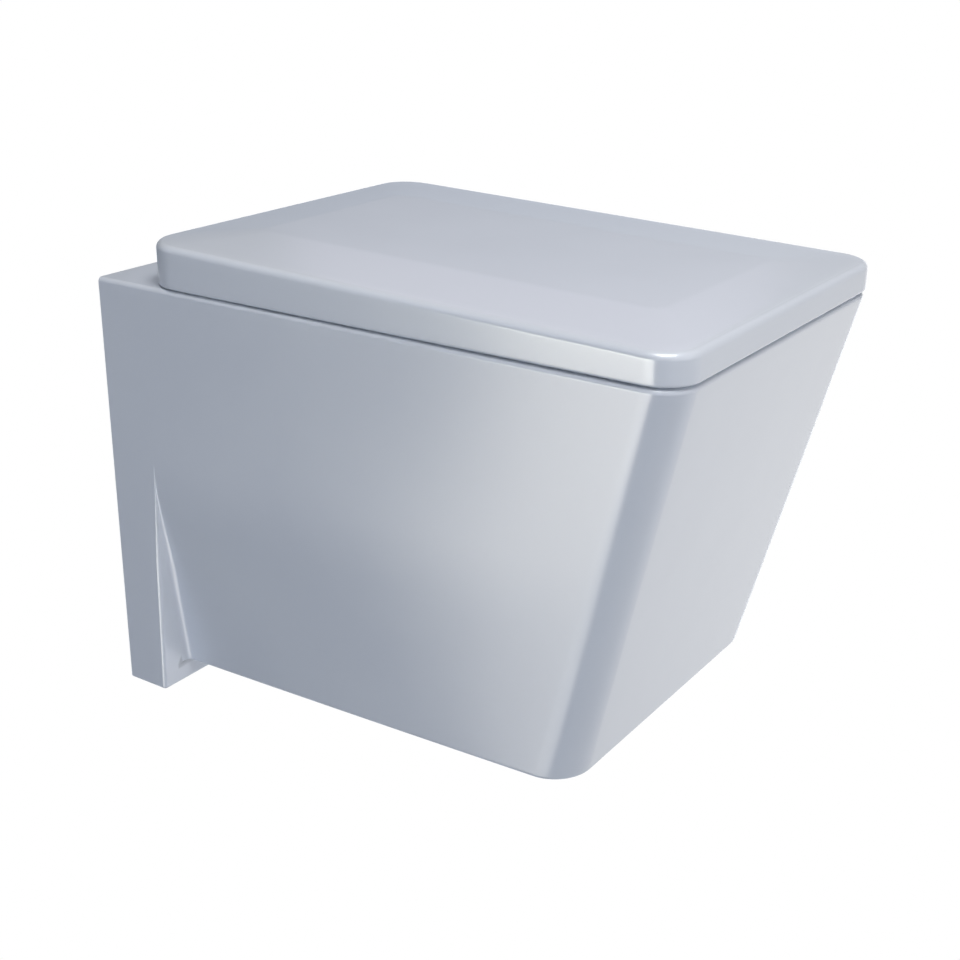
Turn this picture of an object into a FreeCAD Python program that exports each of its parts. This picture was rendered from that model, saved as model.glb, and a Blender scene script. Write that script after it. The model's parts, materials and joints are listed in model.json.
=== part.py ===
import FreeCAD, Part
import math
import os

# Wall hung toilet with a wedge shaped soft-close lid, in millimetres.
# The wall is the plane y = 0, the toilet faces -Y, +Z is up and X is the width.
# The origin lies midway between the two wall studs, on the wall.

Vec = FreeCAD.Vector
along_x = Vec(1, 0, 0)
along_y = Vec(0, 1, 0)
up = Vec(0, 0, 1)
into_pan = -along_y
sides = (-1, 1)

# Wall frame that the toilet hangs on
stud_distance = 180.0
stud_hole_r = 6.5
inlet_above_studs = 35.0
outlet_below_studs = 100.0
flush_pipe_r = 22.5
spigot_r = 51.0

# Outside of the pan
pan_width = 360.0
pan_reach = 549.0
pan_top = 80.0
flange_drop = 19.5
flange_foot = 43.6
flange_draft = 1.66
underside_back_width = 299.6
underside_front_width = 328.0
underside_reach = 466.0
underside_depth = 342.3
underside_rise = 3.01
front_corner_top_r = 30.0
front_corner_low_r = 33.0
side_bend_depth = 181.0
side_bend_run = 60.0
pan_top_edge_r = 5.0
pan_low_edge_r = 4.0
side_bend_sections = 5

# Inside of the pan
pan_wall = 10.0
shelf_thick = 14.0
back_wall = 22.0
back_opening_width = 296.0
back_opening_top = 118.0
back_opening_sill = 44.0
back_opening_corner_r = 24.0
bowl_mouth_width = 268.0
bowl_mouth_length = 344.0
bowl_centre = 318.0
bowl_wall = 9.0
bowl_lip_r = 6.0
bowl_levels = ((0.1, 1.0), (0.36, 0.8), (0.62, 0.38), (0.82, 0.1), (1.0, 0.0))
sump_width = 80.0
sump_length = 92.0
sump_centre = 262.0
sump_floor = 22.0
trap_r = 39.0
trap_wall = 8.5
trap_bend_r = 60.0
trap_rise_start = 200.0
weir_back = 118.0
weir_above_outlet = 12.0
spigot_recess = 8.0
spigot_length = 60.0
inlet_bore_r = 27.5
inlet_bore_depth = 60.0
inlet_wall = 10.0
flush_port_r = 20.0
boss_r = 22.0
boss_length = 65.0
inlet_seal_depth = 30.0
inlet_seal_inset = 2.0

# Stud clamps, tightened from above through the hinge holes
sleeve_wall = 5.0
sleeve_flange_r = 17.0
sleeve_flange = 3.0
clamp_r = 15.0
clamp_length = 26.0
clamp_slit = 2.4
clamp_ear_half = 12.0
clamp_ear_end = 9.0
clamp_screw_r = 3.0
clamp_screw_head_r = 5.0
clamp_screw_head = 6.0
clamp_screw_socket_r = 2.5

# Lid
lid_reach = 549.4
lid_back = 51.1
lid_gap = 1.0
lid_front_height = 25.2
lid_back_height = 38.0
lid_wall = 5.0
lid_panel = 4.5
lid_front_corner_r = 30.0
lid_back_corner_r = 35.0
lid_top_edge_r = 6.0
lid_low_edge_r = 1.5
plateau_rise = 4.0
plateau_side_border = 82.0
plateau_end_border = 60.0
plateau_corner_r = 14.0

# Seat ring
seat_gap = 3.0
seat_thick = 13.0
seat_back = 96.0
seat_side_gap = 3.0
seat_corner_r = 24.0
seat_hole_width = 226.0
seat_hole_length = 304.0
seat_edge_r = 5.0
seat_low_edge_r = 2.0

# Hinges
hinge_spacing = 155.0
hinge_axis_height = 26.0
hinge_axis_inset = 8.0
barrel_r = 7.0
cartridge_r = 5.5
pin_r = 3.0
post_width = 23.0
post_setback = 22.5
post_depth = 21.0
post_arm_r = 8.0
post_arm = 4.5
lug_length = 22.0
lug_gap = 1.0
lug_end_wall = 1.0
pin_grip = 10.0
pillar_flange_r = 14.0
pillar_flange = 3.0
peg_r = 5.0
peg_height = 10.0
peg_socket_r = 2.2
peg_socket = 6.0
hinge_hole_r = 7.5
gasket_r = 15.0
gasket_thick = 1.5
anchor_r = 4.0
anchor_sleeve_length = 34.0
anchor_nut_length = 12.0
anchor_nut_wall = 1.5
grub_r = 2.0

# Damper cartridges
damper_wall = 1.2
damper_floor = 2.0
damper_cap = 2.0
damper_groove = 0.6
damper_groove_count = 3

# Bumpers
bumper_stem_r = 3.0
bumper_stem = 5.0
bumper_length = 26.0
bumper_width = 12.0
bumper_corner_r = 4.8
bumper_from_front = 110.0
bumper_from_back = 60.0
lid_bumper_r = 8.0
lid_bumper_stem = 2.0

# Clearances
slip = 0.05
press = 0.03
loose = 0.1
rest_gap = 0.2
notch_gap = 1.0
swing_gap = 0.6
screw_seat_gap = 0.5
overcut = 1.0
touching = 0.01

# Places worked out from the sizes above
outlet_depth = pan_top + outlet_below_studs
bend_start = side_bend_depth - side_bend_run / 2
bend_end = side_bend_depth + side_bend_run / 2
underside_slope = math.tan(math.radians(underside_rise))
flange_underside = underside_depth + underside_slope * (underside_reach - flange_foot)
flange_height = flange_underside + flange_drop
flange_slope = math.tan(math.radians(flange_draft))
flange_kink = flange_foot + flange_slope * (flange_height - bend_start)
back_opening_low = flange_height - back_opening_sill
sump_underside = underside_depth + underside_slope * (underside_reach - sump_centre)
sump_depth = sump_underside - sump_floor
bowl_foot = sump_underside - pan_wall / 2
side_bend_slope = (pan_width - underside_back_width) / 2 / (flange_underside - side_bend_depth)
front_taper = (pan_width - underside_front_width) / 2 / underside_depth
front_slant = (pan_reach - underside_reach) / underside_depth
axis_y = -lid_back - hinge_axis_inset
axis_z = pan_top + hinge_axis_height
post_x = hinge_spacing / 2
post_y = axis_y - post_setback
stud_x = stud_distance / 2
clamp_back = -boss_length - sleeve_flange
seat_top = pan_top + seat_gap + seat_thick
swing_r = hinge_axis_height - swing_gap
post_in = post_x - post_width / 2
post_out = post_x + post_width / 2
seat_lug_far = post_in - lug_gap - lug_length
lid_lug_far = post_out + lug_gap + lug_length
lid_slope = (lid_back_height - lid_front_height) / (lid_reach - lid_back)
post_foot = axis_z - hinge_axis_height + gasket_thick + pillar_flange


# Shapes that many pieces use

def box(x_low, x_high, y_low, y_high, z_low, z_high):
    size = Vec(x_high - x_low, y_high - y_low, z_high - z_low)
    return Part.makeBox(size.x, size.y, size.z, Vec(x_low, y_low, z_low))


def rod(start, direction, radius, length):
    return Part.makeCylinder(radius, length, start, direction)


def tube(start, direction, outer, inner, length):
    return rod(start, direction, outer, length).cut(rod(start, direction, inner, length))


def corner_arc(before, corner, after, radius):
    coming = (corner - before).normalize()
    leaving = (after - corner).normalize()
    turn = coming.getAngle(leaving)
    reach = radius * math.tan(turn / 2)
    inward = (leaving - coming).normalize()
    centre = corner + inward * (radius / math.cos(turn / 2))
    return corner - coming * reach, centre - inward * radius, corner + leaving * reach


def outline(corners, radii):
    spans = []
    for index, radius in enumerate(radii):
        corner = corners[index]
        if radius > 0:
            after = corners[(index + 1) % len(corners)]
            spans.append(corner_arc(corners[index - 1], corner, after, radius))
        else:
            spans.append((corner, None, corner))
    edges = []
    for index, (start, middle, end) in enumerate(spans):
        edges.append(Part.makeLine(spans[index - 1][2], start))
        if middle:
            edges.append(Part.Arc(start, middle, end).toShape())
    return Part.Wire(edges)


def plate(wire, travel):
    return Part.Face(wire).extrude(travel)


def oval(half_width, half_length, centre_y, z):
    far = Vec(0, centre_y + half_length, z)
    side = Vec(half_width, centre_y, z)
    return Part.Wire(Part.Ellipse(far, side, Vec(0, centre_y, z)).toShape())


def edges_where(shape, test):
    return [edge for edge in shape.Edges if test(edge)]


def edge_ends(edge):
    return edge.valueAt(edge.FirstParameter), edge.valueAt(edge.LastParameter)


def edges_above(shape, z):
    return edges_where(shape, lambda edge: edge.BoundBox.ZMin > z - touching)


def edges_below(shape, z):
    return edges_where(shape, lambda edge: edge.BoundBox.ZMax < z + touching)


def joined(first, others):
    return first.fuse(others).removeSplitter()


# Pan: outside

def half_width_back(depth):
    if depth <= bend_start:
        return pan_width / 2
    if depth >= bend_end:
        return pan_width / 2 - side_bend_slope * (depth - side_bend_depth)
    return pan_width / 2 - side_bend_slope * (depth - bend_start) ** 2 / (2 * side_bend_run)


def pan_section(depth, inset, back):
    wide = half_width_back(depth) - inset
    narrow = pan_width / 2 - front_taper * depth - inset
    front = -(pan_reach - front_slant * depth - inset)
    low_share = depth / underside_depth
    corner_r = front_corner_top_r + (front_corner_low_r - front_corner_top_r) * low_share - inset
    z = pan_top - depth
    corners = [Vec(wide, back, z), Vec(-wide, back, z), Vec(-wide, -flange_kink, z),
               Vec(-narrow, front, z), Vec(narrow, front, z), Vec(wide, -flange_kink, z)]
    return outline(corners, [0, 0, 0, corner_r, corner_r, 0])


def underside_at(y):
    return underside_depth + underside_slope * (underside_reach + y)


def below_underside(lift):
    reach = -2 * pan_reach
    low = pan_top - 2 * flange_height
    corners = [Vec(-pan_width, 0, pan_top - underside_at(0) + lift), Vec(-pan_width, 0, low),
               Vec(-pan_width, reach, low), Vec(-pan_width, reach, pan_top - underside_at(reach) + lift)]
    return plate(outline(corners, [0] * len(corners)), along_x * (2 * pan_width))


def pan_outside():
    upper = Part.makeLoft([pan_section(0, 0, 0), pan_section(bend_start, 0, 0)], True, True)
    bend_step = side_bend_run / (side_bend_sections - 1)
    bend_levels = [bend_start + bend_step * index for index in range(side_bend_sections)]
    bend = Part.makeLoft([pan_section(depth, 0, 0) for depth in bend_levels], True, False)
    lower = Part.makeLoft([pan_section(bend_end, 0, 0), pan_section(flange_height, 0, 0)], True, True)
    lower = lower.cut(below_underside(0))
    foot = pan_top - flange_height
    bend_z = pan_top - bend_start
    left = -pan_width / 2
    corners = [Vec(left, 0, bend_z), Vec(left, 0, foot),
               Vec(left, -flange_foot, foot), Vec(left, -flange_kink, bend_z)]
    flange = plate(outline(corners, [0] * len(corners)), along_x * pan_width)
    return joined(upper, [bend, lower, flange])


def round_pan_edges(solid):
    def on_top_rim(edge):
        return edge.BoundBox.ZMin > pan_top - touching and edge.BoundBox.YMin < -touching

    def on_underside(edge):
        offs = [pan_top - spot.z - underside_at(spot.y) for spot in edge_ends(edge)]
        return max(abs(off) for off in offs) < touching and edge.BoundBox.YMin < -flange_kink
    solid = solid.makeFillet(pan_top_edge_r, edges_where(solid, on_top_rim))
    return solid.makeFillet(pan_low_edge_r, edges_where(solid, on_underside))


# Pan: inside

def pan_hollow():
    levels = [shelf_thick, bend_start, bend_end, flange_height]
    hollow = Part.makeLoft([pan_section(depth, pan_wall, -back_wall) for depth in levels], True, True)
    return hollow.cut(below_underside(pan_wall))


def pan_back_opening():
    half = back_opening_width / 2
    high = pan_top - shelf_thick
    low = pan_top - back_opening_low
    low_r = back_opening_corner_r
    corners = [Vec(-half, 0, low), Vec(half, 0, low), Vec(half, 0, high), Vec(-half, 0, high)]
    return plate(outline(corners, [low_r, low_r, 0, 0]), along_y * (-2 * back_wall))


def bowl_form(grow, top_depth, bottom_depth):
    wires = [oval(bowl_mouth_width / 2 + grow, bowl_mouth_length / 2 + grow, -bowl_centre,
                  pan_top - top_depth)]
    for depth_share, mouth_share in bowl_levels:
        depth = depth_share * bottom_depth
        half_width = (sump_width + (bowl_mouth_width - sump_width) * mouth_share) / 2 + grow
        half_length = (sump_length + (bowl_mouth_length - sump_length) * mouth_share) / 2 + grow
        centre = sump_centre + (bowl_centre - sump_centre) * mouth_share
        wires.append(oval(half_width, half_length, -centre, pan_top - depth))
    return Part.makeLoft(wires, True, False)


def trap_path():
    sump_z = pan_top - sump_depth + trap_r
    weir_z = pan_top - outlet_depth + weir_above_outlet
    out_z = pan_top - outlet_depth
    spigot_end = spigot_recess + spigot_length
    points = [Vec(0, -sump_centre, sump_z), Vec(0, -trap_rise_start, sump_z), Vec(0, -weir_back, weir_z),
              Vec(0, -spigot_end, out_z), Vec(0, -spigot_recess, out_z)]
    edges = []
    start = points[0]
    for before, corner, after in zip(points, points[1:], points[2:]):
        bend = corner_arc(before, corner, after, trap_bend_r)
        edges.append(Part.makeLine(start, bend[0]))
        edges.append(Part.Arc(*bend).toShape())
        start = bend[2]
    edges.append(Part.makeLine(start, points[-1]))
    return Part.Wire(edges)


def trap_form(radius):
    path = trap_path()
    start = path.Edges[0].valueAt(path.Edges[0].FirstParameter)
    ring = Part.Wire(Part.Circle(start, along_y, radius).toShape())
    return path.makePipeShell([ring], True, False)


# The pan is cast in four parts that are stuck together before firing.

def pan():
    cuts = [bowl_form(0, -overcut, sump_depth)]
    for side in sides:
        hinge_start = Vec(side * post_x, post_y, pan_top + overcut)
        cuts.append(rod(hinge_start, -up, hinge_hole_r, shelf_thick + 2 * overcut))
    shell = round_pan_edges(pan_outside()).cut(pan_hollow()).cut(pan_back_opening())
    shell = shell.cut(cuts).removeSplitter()

    def on_bowl_mouth(edge):
        bound = edge.BoundBox
        wide = abs(bound.XLength - bowl_mouth_width) < overcut
        return bound.ZMin > pan_top - touching and wide
    return shell.makeFillet(bowl_lip_r, edges_where(shell, on_bowl_mouth))


def bowl(shroud):
    neck_start = Vec(0, -inlet_bore_depth, inlet_above_studs)
    neck = rod(neck_start, into_pan, inlet_bore_r + inlet_wall, bowl_centre / 2 - inlet_bore_depth)
    body = bowl_form(bowl_wall, shelf_thick, bowl_foot).fuse(neck).cut(shroud)
    flush_port = rod(neck_start - into_pan * overcut, into_pan, flush_port_r, bowl_centre / 2)
    return body.cut([bowl_form(0, -overcut, sump_depth), trap_form(trap_r), flush_port]).removeSplitter()


def trap(shroud):
    spigot_start = Vec(0, -spigot_recess, -outlet_below_studs)
    spigot = rod(spigot_start, into_pan, spigot_r, spigot_length)
    bore = rod(spigot_start - into_pan * overcut, into_pan, trap_r, spigot_length / 2)
    body = trap_form(trap_r + trap_wall).fuse(spigot)
    body = body.cut([bowl_form(bowl_wall, shelf_thick, bowl_foot), shroud])
    return body.cut([trap_form(trap_r), bore]).removeSplitter()


def back_web(shroud):
    half = back_opening_width / 2
    web = box(-half, half, -back_wall, 0, pan_top - back_opening_top, pan_top - shelf_thick)
    inlet_start = Vec(0, 0, inlet_above_studs)
    additions = [rod(inlet_start, into_pan, inlet_bore_r + inlet_wall, inlet_bore_depth)]
    cuts = [rod(inlet_start - into_pan * overcut, into_pan, inlet_bore_r, inlet_bore_depth + 2 * overcut)]
    for side in sides:
        stud_start = Vec(side * stud_x, 0, 0)
        sleeve_hole_r = stud_hole_r + sleeve_wall + loose
        additions.append(rod(stud_start, into_pan, boss_r, boss_length))
        cuts.append(rod(stud_start - into_pan * overcut, into_pan, sleeve_hole_r, boss_length + 2 * overcut))
    return joined(web, additions).cut([shroud] + cuts).removeSplitter()


# Wall fixing and inlet

def stud_sleeves():
    sleeves = []
    for side in sides:
        start = Vec(side * stud_x, 0, 0)
        body = rod(start, -along_y, stud_hole_r + sleeve_wall, boss_length)
        collar = rod(start - along_y * boss_length, -along_y, sleeve_flange_r, sleeve_flange)
        bore_length = boss_length + sleeve_flange + 2 * overcut
        bore = rod(start + along_y * overcut, -along_y, stud_hole_r, bore_length)
        sleeves.append(joined(body, [collar]).cut(bore))
    return sleeves


def stud_clamps():
    clamps = []
    front = clamp_back - clamp_length
    for side in sides:
        start = Vec(side * stud_x, clamp_back, 0)
        ring = rod(start, -along_y, clamp_r, clamp_length)
        ear_end = side * (post_x - clamp_ear_end)
        x_low, x_high = sorted((ear_end, side * stud_x))
        ears = box(x_low, x_high, front, clamp_back, -clamp_ear_half, clamp_ear_half)
        slit = box(x_low, x_high, front, clamp_back, -clamp_slit / 2, clamp_slit / 2)
        bore = rod(start, -along_y, stud_hole_r, clamp_length)
        screw_hole = rod(Vec(side * post_x, post_y, -clamp_r), up, clamp_screw_r + press, 2 * clamp_r)
        seat_start = Vec(side * post_x, post_y, clamp_ear_half)
        screw_seat = rod(seat_start, up, clamp_screw_head_r + screw_seat_gap, clamp_r)
        clamps.append(joined(ring, [ears]).cut([slit, bore, screw_hole, screw_seat]))
    return clamps


def clamp_screws():
    screws = []
    for side in sides:
        foot = Vec(side * post_x, post_y, -clamp_ear_half)
        head = foot + up * (2 * clamp_ear_half)
        socket = hexagon_hole(head + up * clamp_screw_head, clamp_screw_socket_r, clamp_screw_head / 2)
        body = rod(foot, up, clamp_screw_r, 2 * clamp_ear_half)
        screws.append(joined(body, [rod(head, up, clamp_screw_head_r, clamp_screw_head)]).cut(socket))
    return screws


def inlet_seal():
    start = Vec(0, -inlet_seal_inset, inlet_above_studs)
    return tube(start, -along_y, inlet_bore_r - loose, flush_pipe_r, inlet_seal_depth)


# Lid

def lid_edge_height(y):
    return lid_back_height - lid_slope * (-lid_back - y)


def lid_wire(side_inset, end_inset, front_r, back_r, height_at):
    half = pan_width / 2 - side_inset
    spots = [(-half, -lid_reach + end_inset), (half, -lid_reach + end_inset),
             (half, -lid_back - end_inset), (-half, -lid_back - end_inset)]
    corners = [Vec(x, y, pan_top + height_at(y)) for x, y in spots]
    return outline(corners, [front_r, front_r, back_r, back_r])


def lid_form(inset, lowered, floor):
    front_r = lid_front_corner_r - inset
    back_r = lid_back_corner_r - inset
    low = lid_wire(inset, inset, front_r, back_r, lambda y: floor)
    edge = lid_wire(inset, inset, front_r, back_r, lambda y: lid_edge_height(y) - lowered)
    plateau = lid_wire(plateau_side_border, plateau_end_border, plateau_corner_r, plateau_corner_r,
                       lambda y: lid_edge_height(y) + plateau_rise - lowered)
    return Part.makeLoft([low, edge, plateau], True, True)


def lid_cavity():
    return lid_form(lid_wall, lid_panel, 0)


def round_lid_edges(solid):
    def on_top_edge(edge):
        offs = [spot.z - pan_top - lid_edge_height(spot.y) for spot in edge_ends(edge)]
        return max(abs(off) for off in offs) < touching
    solid = solid.makeFillet(lid_top_edge_r, edges_where(solid, on_top_edge))
    return solid.makeFillet(lid_low_edge_r, edges_below(solid, pan_top + lid_gap))


def lid_swing_cut():
    behind = box(-pan_width, pan_width, axis_y, lid_reach, pan_top - lid_back_height, axis_z)
    return behind.cut(rod(Vec(-pan_width, axis_y, axis_z), along_x, swing_r, 2 * pan_width))


def lid_shell():
    shell = round_lid_edges(lid_form(0, 0, lid_gap)).cut(lid_cavity()).cut(lid_swing_cut())
    notch_top = pan_top + lid_edge_height(-lid_back - lid_wall) - lid_panel
    notches = []
    lugs = []
    bores = []
    for side in sides:
        x_low, x_high = sorted((side * (seat_lug_far - notch_gap), side * (lid_lug_far + notch_gap)))
        notches.append(box(x_low, x_high, -lid_back - lid_wall, -lid_back + overcut, pan_top, notch_top))
        face = side * post_out
        lugs.append(pivot_rod(face, side, lug_gap, lug_gap + lug_length, barrel_r))
        x_low, x_high = sorted((face + side * lug_gap, side * lid_lug_far))
        web_top = pan_top + lid_edge_height(axis_y) - lid_panel / 2
        lugs.append(box(x_low, x_high, axis_y - barrel_r, axis_y + barrel_r, axis_z, web_top))
        bores.append(lug_bore(face, side))
    for x, y in lid_bumper_spots():
        bores.append(lid_bumper_stem_rod(x, y, press))
    return joined(shell.cut(notches), lugs).cut(bores)


def lid_inner_height(x, y):
    side_run = (pan_width / 2 - abs(x) - lid_wall) / (plateau_side_border - lid_wall)
    end_run = (lid_reach + y - lid_wall) / (plateau_end_border - lid_wall)
    return pan_top + lid_edge_height(y) - lid_panel + plateau_rise * min(side_run, end_run, 1.0)


def lid_bumper_spots():
    x = (pan_width / 2 + seat_hole_width / 2) / 2
    front = -lid_reach + bumper_from_front
    back = -seat_back - bumper_from_back
    return [(side * x, y) for side in sides for y in (front, back)]


def lid_bumper_stem_rod(x, y, play):
    start = Vec(x, y, lid_inner_height(x, y) - lid_bumper_stem)
    return rod(start, up, bumper_stem_r + play, 2 * lid_bumper_stem + play)


def lid_bumpers():
    pads = []
    for x, y in lid_bumper_spots():
        low = seat_top + rest_gap
        pad = rod(Vec(x, y, low), up, lid_bumper_r, lid_back_height).common(lid_cavity())
        pads.append(joined(pad, [lid_bumper_stem_rod(x, y, 0)]))
    return pads


# Seat ring

def seat_ring():
    inset = lid_wall + seat_side_gap
    half = pan_width / 2 - inset
    front = -lid_reach + inset
    low = pan_top + seat_gap
    corners = [Vec(-half, front, low), Vec(half, front, low), Vec(half, -seat_back, low),
               Vec(-half, -seat_back, low)]
    slab = plate(outline(corners, [seat_corner_r] * len(corners)), up * seat_thick)
    hole = plate(oval(seat_hole_width / 2, seat_hole_length / 2, -bowl_centre, low), up * seat_thick)
    ring = slab.cut(hole)
    ring = ring.makeFillet(seat_edge_r, edges_above(ring, seat_top))
    ring = ring.makeFillet(seat_low_edge_r, edges_below(ring, low))
    lugs = []
    bores = []
    for side in sides:
        face = side * post_in
        lugs.append(pivot_rod(face, -side, lug_gap, lug_gap + lug_length, barrel_r))
        lugs.append(seat_arm(side))
        bores.append(lug_bore(face, -side))
    for x, y in seat_bumper_spots():
        bores.append(rod(Vec(x, y, low), up, bumper_stem_r + press, bumper_stem + press))
    return joined(ring, lugs).cut(bores)


def seat_arm(side):
    x_low = min(side * seat_lug_far, side * (post_in - lug_gap))
    root = -seat_back - 2 * seat_edge_r
    low = pan_top + seat_gap + seat_low_edge_r
    corners = [Vec(x_low, axis_y, axis_z + barrel_r), Vec(x_low, root, seat_top),
               Vec(x_low, root, low), Vec(x_low, axis_y, axis_z - barrel_r)]
    return plate(outline(corners, [0] * len(corners)), along_x * lug_length)


def seat_bumper_spots():
    x = (pan_width / 2 - pan_top_edge_r + bowl_mouth_width / 2) / 2
    front = -lid_reach + bumper_from_front
    back = -seat_back - bumper_from_back
    return [(side * x, y) for side in sides for y in (front, back)]


def seat_bumpers():
    pads = []
    for x, y in seat_bumper_spots():
        half_w = bumper_width / 2
        half_l = bumper_length / 2
        low = pan_top + rest_gap
        corners = [Vec(x - half_w, y - half_l, low), Vec(x + half_w, y - half_l, low),
                   Vec(x + half_w, y + half_l, low), Vec(x - half_w, y + half_l, low)]
        pad = plate(outline(corners, [bumper_corner_r] * len(corners)), up * (seat_gap - rest_gap))
        stem = rod(Vec(x, y, low), up, bumper_stem_r, seat_gap - rest_gap + bumper_stem)
        pads.append(joined(pad, [stem]))
    return pads


# Hinges, measured outwards from a post's side face

def pivot_rod(face, direction, start, end, radius):
    first = Vec(face + direction * start, axis_y, axis_z)
    return rod(first, along_x * direction, radius, end - start)


def lug_bore(face, direction):
    return pivot_rod(face, direction, 0, lug_gap + lug_length - lug_end_wall, cartridge_r + slip)


def hinge_post(side):
    front = axis_y - post_setback - post_depth / 2
    back = axis_y - post_setback + post_depth / 2
    low = post_foot
    x_low = min(side * post_in, side * post_out)
    spots = [(front, low), (back, low), (back, axis_z - post_arm), (axis_y, axis_z - post_arm),
             (axis_y, axis_z + post_arm), (front, axis_z + post_arm)]
    corners = [Vec(x_low, y, z) for y, z in spots]
    column = plate(outline(corners, [0, 0, post_arm / 2, 0, 0, post_arm_r]), along_x * post_width)
    barrel = rod(Vec(x_low, axis_y, axis_z), along_x, barrel_r, post_width)
    foot = Vec(side * post_x, post_y, low)
    grub_start = Vec(side * post_x, front, low + peg_height / 2)
    cuts = [rod(foot, up, peg_r + press, peg_height + loose),
            rod(grub_start, along_y, grub_r + press, post_depth / 2),
            pivot_rod(side * post_in, side, 0, pin_grip + loose, pin_r + press),
            pivot_rod(side * post_out, -side, 0, pin_grip + loose, pin_r + press)]
    return joined(column, [barrel]).cut(cuts)


def hexagon_hole(top, radius, depth):
    turns = [math.radians(60 * corner) for corner in range(6)]
    spots = [Vec(radius * math.cos(turn), radius * math.sin(turn), 0) for turn in turns]
    wire = Part.makePolygon([top + spot for spot in spots + spots[:1]])
    return plate(wire, up * -depth)


def hinge_pillars():
    pillars = []
    for side in sides:
        seat = Vec(side * post_x, post_y, pan_top + gasket_thick)
        collar = rod(seat, up, pillar_flange_r, pillar_flange)
        peg = rod(seat, up, peg_r, pillar_flange + peg_height)
        shank_length = gasket_thick + anchor_sleeve_length + anchor_nut_length + anchor_r
        shank = rod(seat, -up, anchor_r, shank_length)
        socket = hexagon_hole(seat + up * (pillar_flange + peg_height), peg_socket_r, peg_socket)
        pillars.append(joined(collar, [peg, shank]).cut(socket))
    return pillars


def hinge_gaskets():
    return [tube(Vec(side * post_x, post_y, pan_top), up, gasket_r, anchor_r + loose, gasket_thick)
            for side in sides]


def anchor_sleeves():
    return [tube(Vec(side * post_x, post_y, pan_top), -up, hinge_hole_r - loose, anchor_r + loose,
                 anchor_sleeve_length) for side in sides]


def anchor_nuts():
    nuts = []
    for side in sides:
        top = Vec(side * post_x, post_y, pan_top - anchor_sleeve_length)
        cone = Part.makeCone(hinge_hole_r - loose, anchor_r + anchor_nut_wall, anchor_nut_length, top, -up)
        nuts.append(cone.cut(rod(top, -up, anchor_r + press, anchor_nut_length)))
    return nuts


def grub_screws():
    front = axis_y - post_setback - post_depth / 2
    length = post_depth / 2 - peg_r - press
    return [rod(Vec(side * post_x, front, post_foot + peg_height / 2), along_y, grub_r, length)
            for side in sides]


def pivot_pin(face, direction):
    return pivot_rod(face, direction, -pin_grip, lug_gap + lug_length - lug_end_wall - rest_gap, pin_r)


def pivot_bush(face, direction):
    start = lug_gap
    end = lug_gap + lug_length - lug_end_wall - loose
    body = pivot_rod(face, direction, start, end, cartridge_r)
    return body.cut(pivot_rod(face, direction, start, end, pin_r + slip))


# Soft-close dampers: a drum turns in grease inside a cartridge in the lug

damper_start = lug_gap + damper_cap
damper_end = lug_gap + lug_length - lug_end_wall - loose
drum_space_r = cartridge_r - damper_wall


def damper_housing(face, direction):
    body = pivot_rod(face, direction, damper_start, damper_end, cartridge_r)
    return body.cut(pivot_rod(face, direction, damper_start, damper_end - damper_floor, drum_space_r))


def damper_cap_ring(face, direction):
    body = pivot_rod(face, direction, lug_gap, damper_start, cartridge_r)
    return body.cut(pivot_rod(face, direction, lug_gap, damper_start, pin_r + slip))


def damper_rotor(face, direction):
    first = damper_start + rest_gap
    last = damper_end - damper_floor - rest_gap
    drum = pivot_rod(face, direction, first, last, drum_space_r - slip)
    shaft = pivot_rod(face, direction, -pin_grip, first, pin_r)
    grooves = []
    pitch = (last - first) / (2 * damper_groove_count + 1)
    for index in range(damper_groove_count):
        start = first + pitch * (2 * index + 1)
        ring = pivot_rod(face, direction, start, start + pitch, drum_space_r)
        core = pivot_rod(face, direction, start, start + pitch, drum_space_r - slip - damper_groove)
        grooves.append(ring.cut(core))
    return joined(drum, [shaft]).cut(grooves)


def save(name, *solids):
    shape = solids[0] if len(solids) == 1 else Part.makeCompound(list(solids))
    shape.exportStep("parts/" + name + ".step")
    print(name, len(shape.Solids), shape.isValid(), round(shape.Volume / 1000, 2), "cm3")


os.makedirs("parts", exist_ok=True)
left, right = sides
shroud = pan()
save("pan", shroud)
save("bowl", bowl(shroud))
save("trap", trap(shroud))
save("back_web", back_web(shroud))
save("inlet_seal", inlet_seal())
save("stud_sleeves", *stud_sleeves())
save("stud_clamps", *stud_clamps())
save("clamp_screws", *clamp_screws())
save("hinge_gaskets", *hinge_gaskets())
save("hinge_pillars", *hinge_pillars())
save("anchor_sleeves", *anchor_sleeves())
save("anchor_nuts", *anchor_nuts())
save("grub_screws", *grub_screws())
save("left_hinge_post", hinge_post(left))
save("right_hinge_post", hinge_post(right))
save("lid_pivot_pin", pivot_pin(left * post_out, left))
save("seat_pivot_pin", pivot_pin(right * post_in, left))
save("seat_damper_rotor", damper_rotor(left * post_in, right))
save("lid_damper_rotor", damper_rotor(right * post_out, right))
save("seat_ring", seat_ring())
save("seat_bumpers", *seat_bumpers())
save("seat_damper_housing", damper_housing(left * post_in, right))
save("seat_damper_cap", damper_cap_ring(left * post_in, right))
save("seat_pivot_bush", pivot_bush(right * post_in, left))
save("lid_shell", lid_shell())
save("lid_bumpers", *lid_bumpers())
save("lid_damper_housing", damper_housing(right * post_out, right))
save("lid_damper_cap", damper_cap_ring(right * post_out, right))
save("lid_pivot_bush", pivot_bush(left * post_out, left))
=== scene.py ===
import bmesh
import bpy
import json
import math
from mathutils import Matrix, Vector


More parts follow.
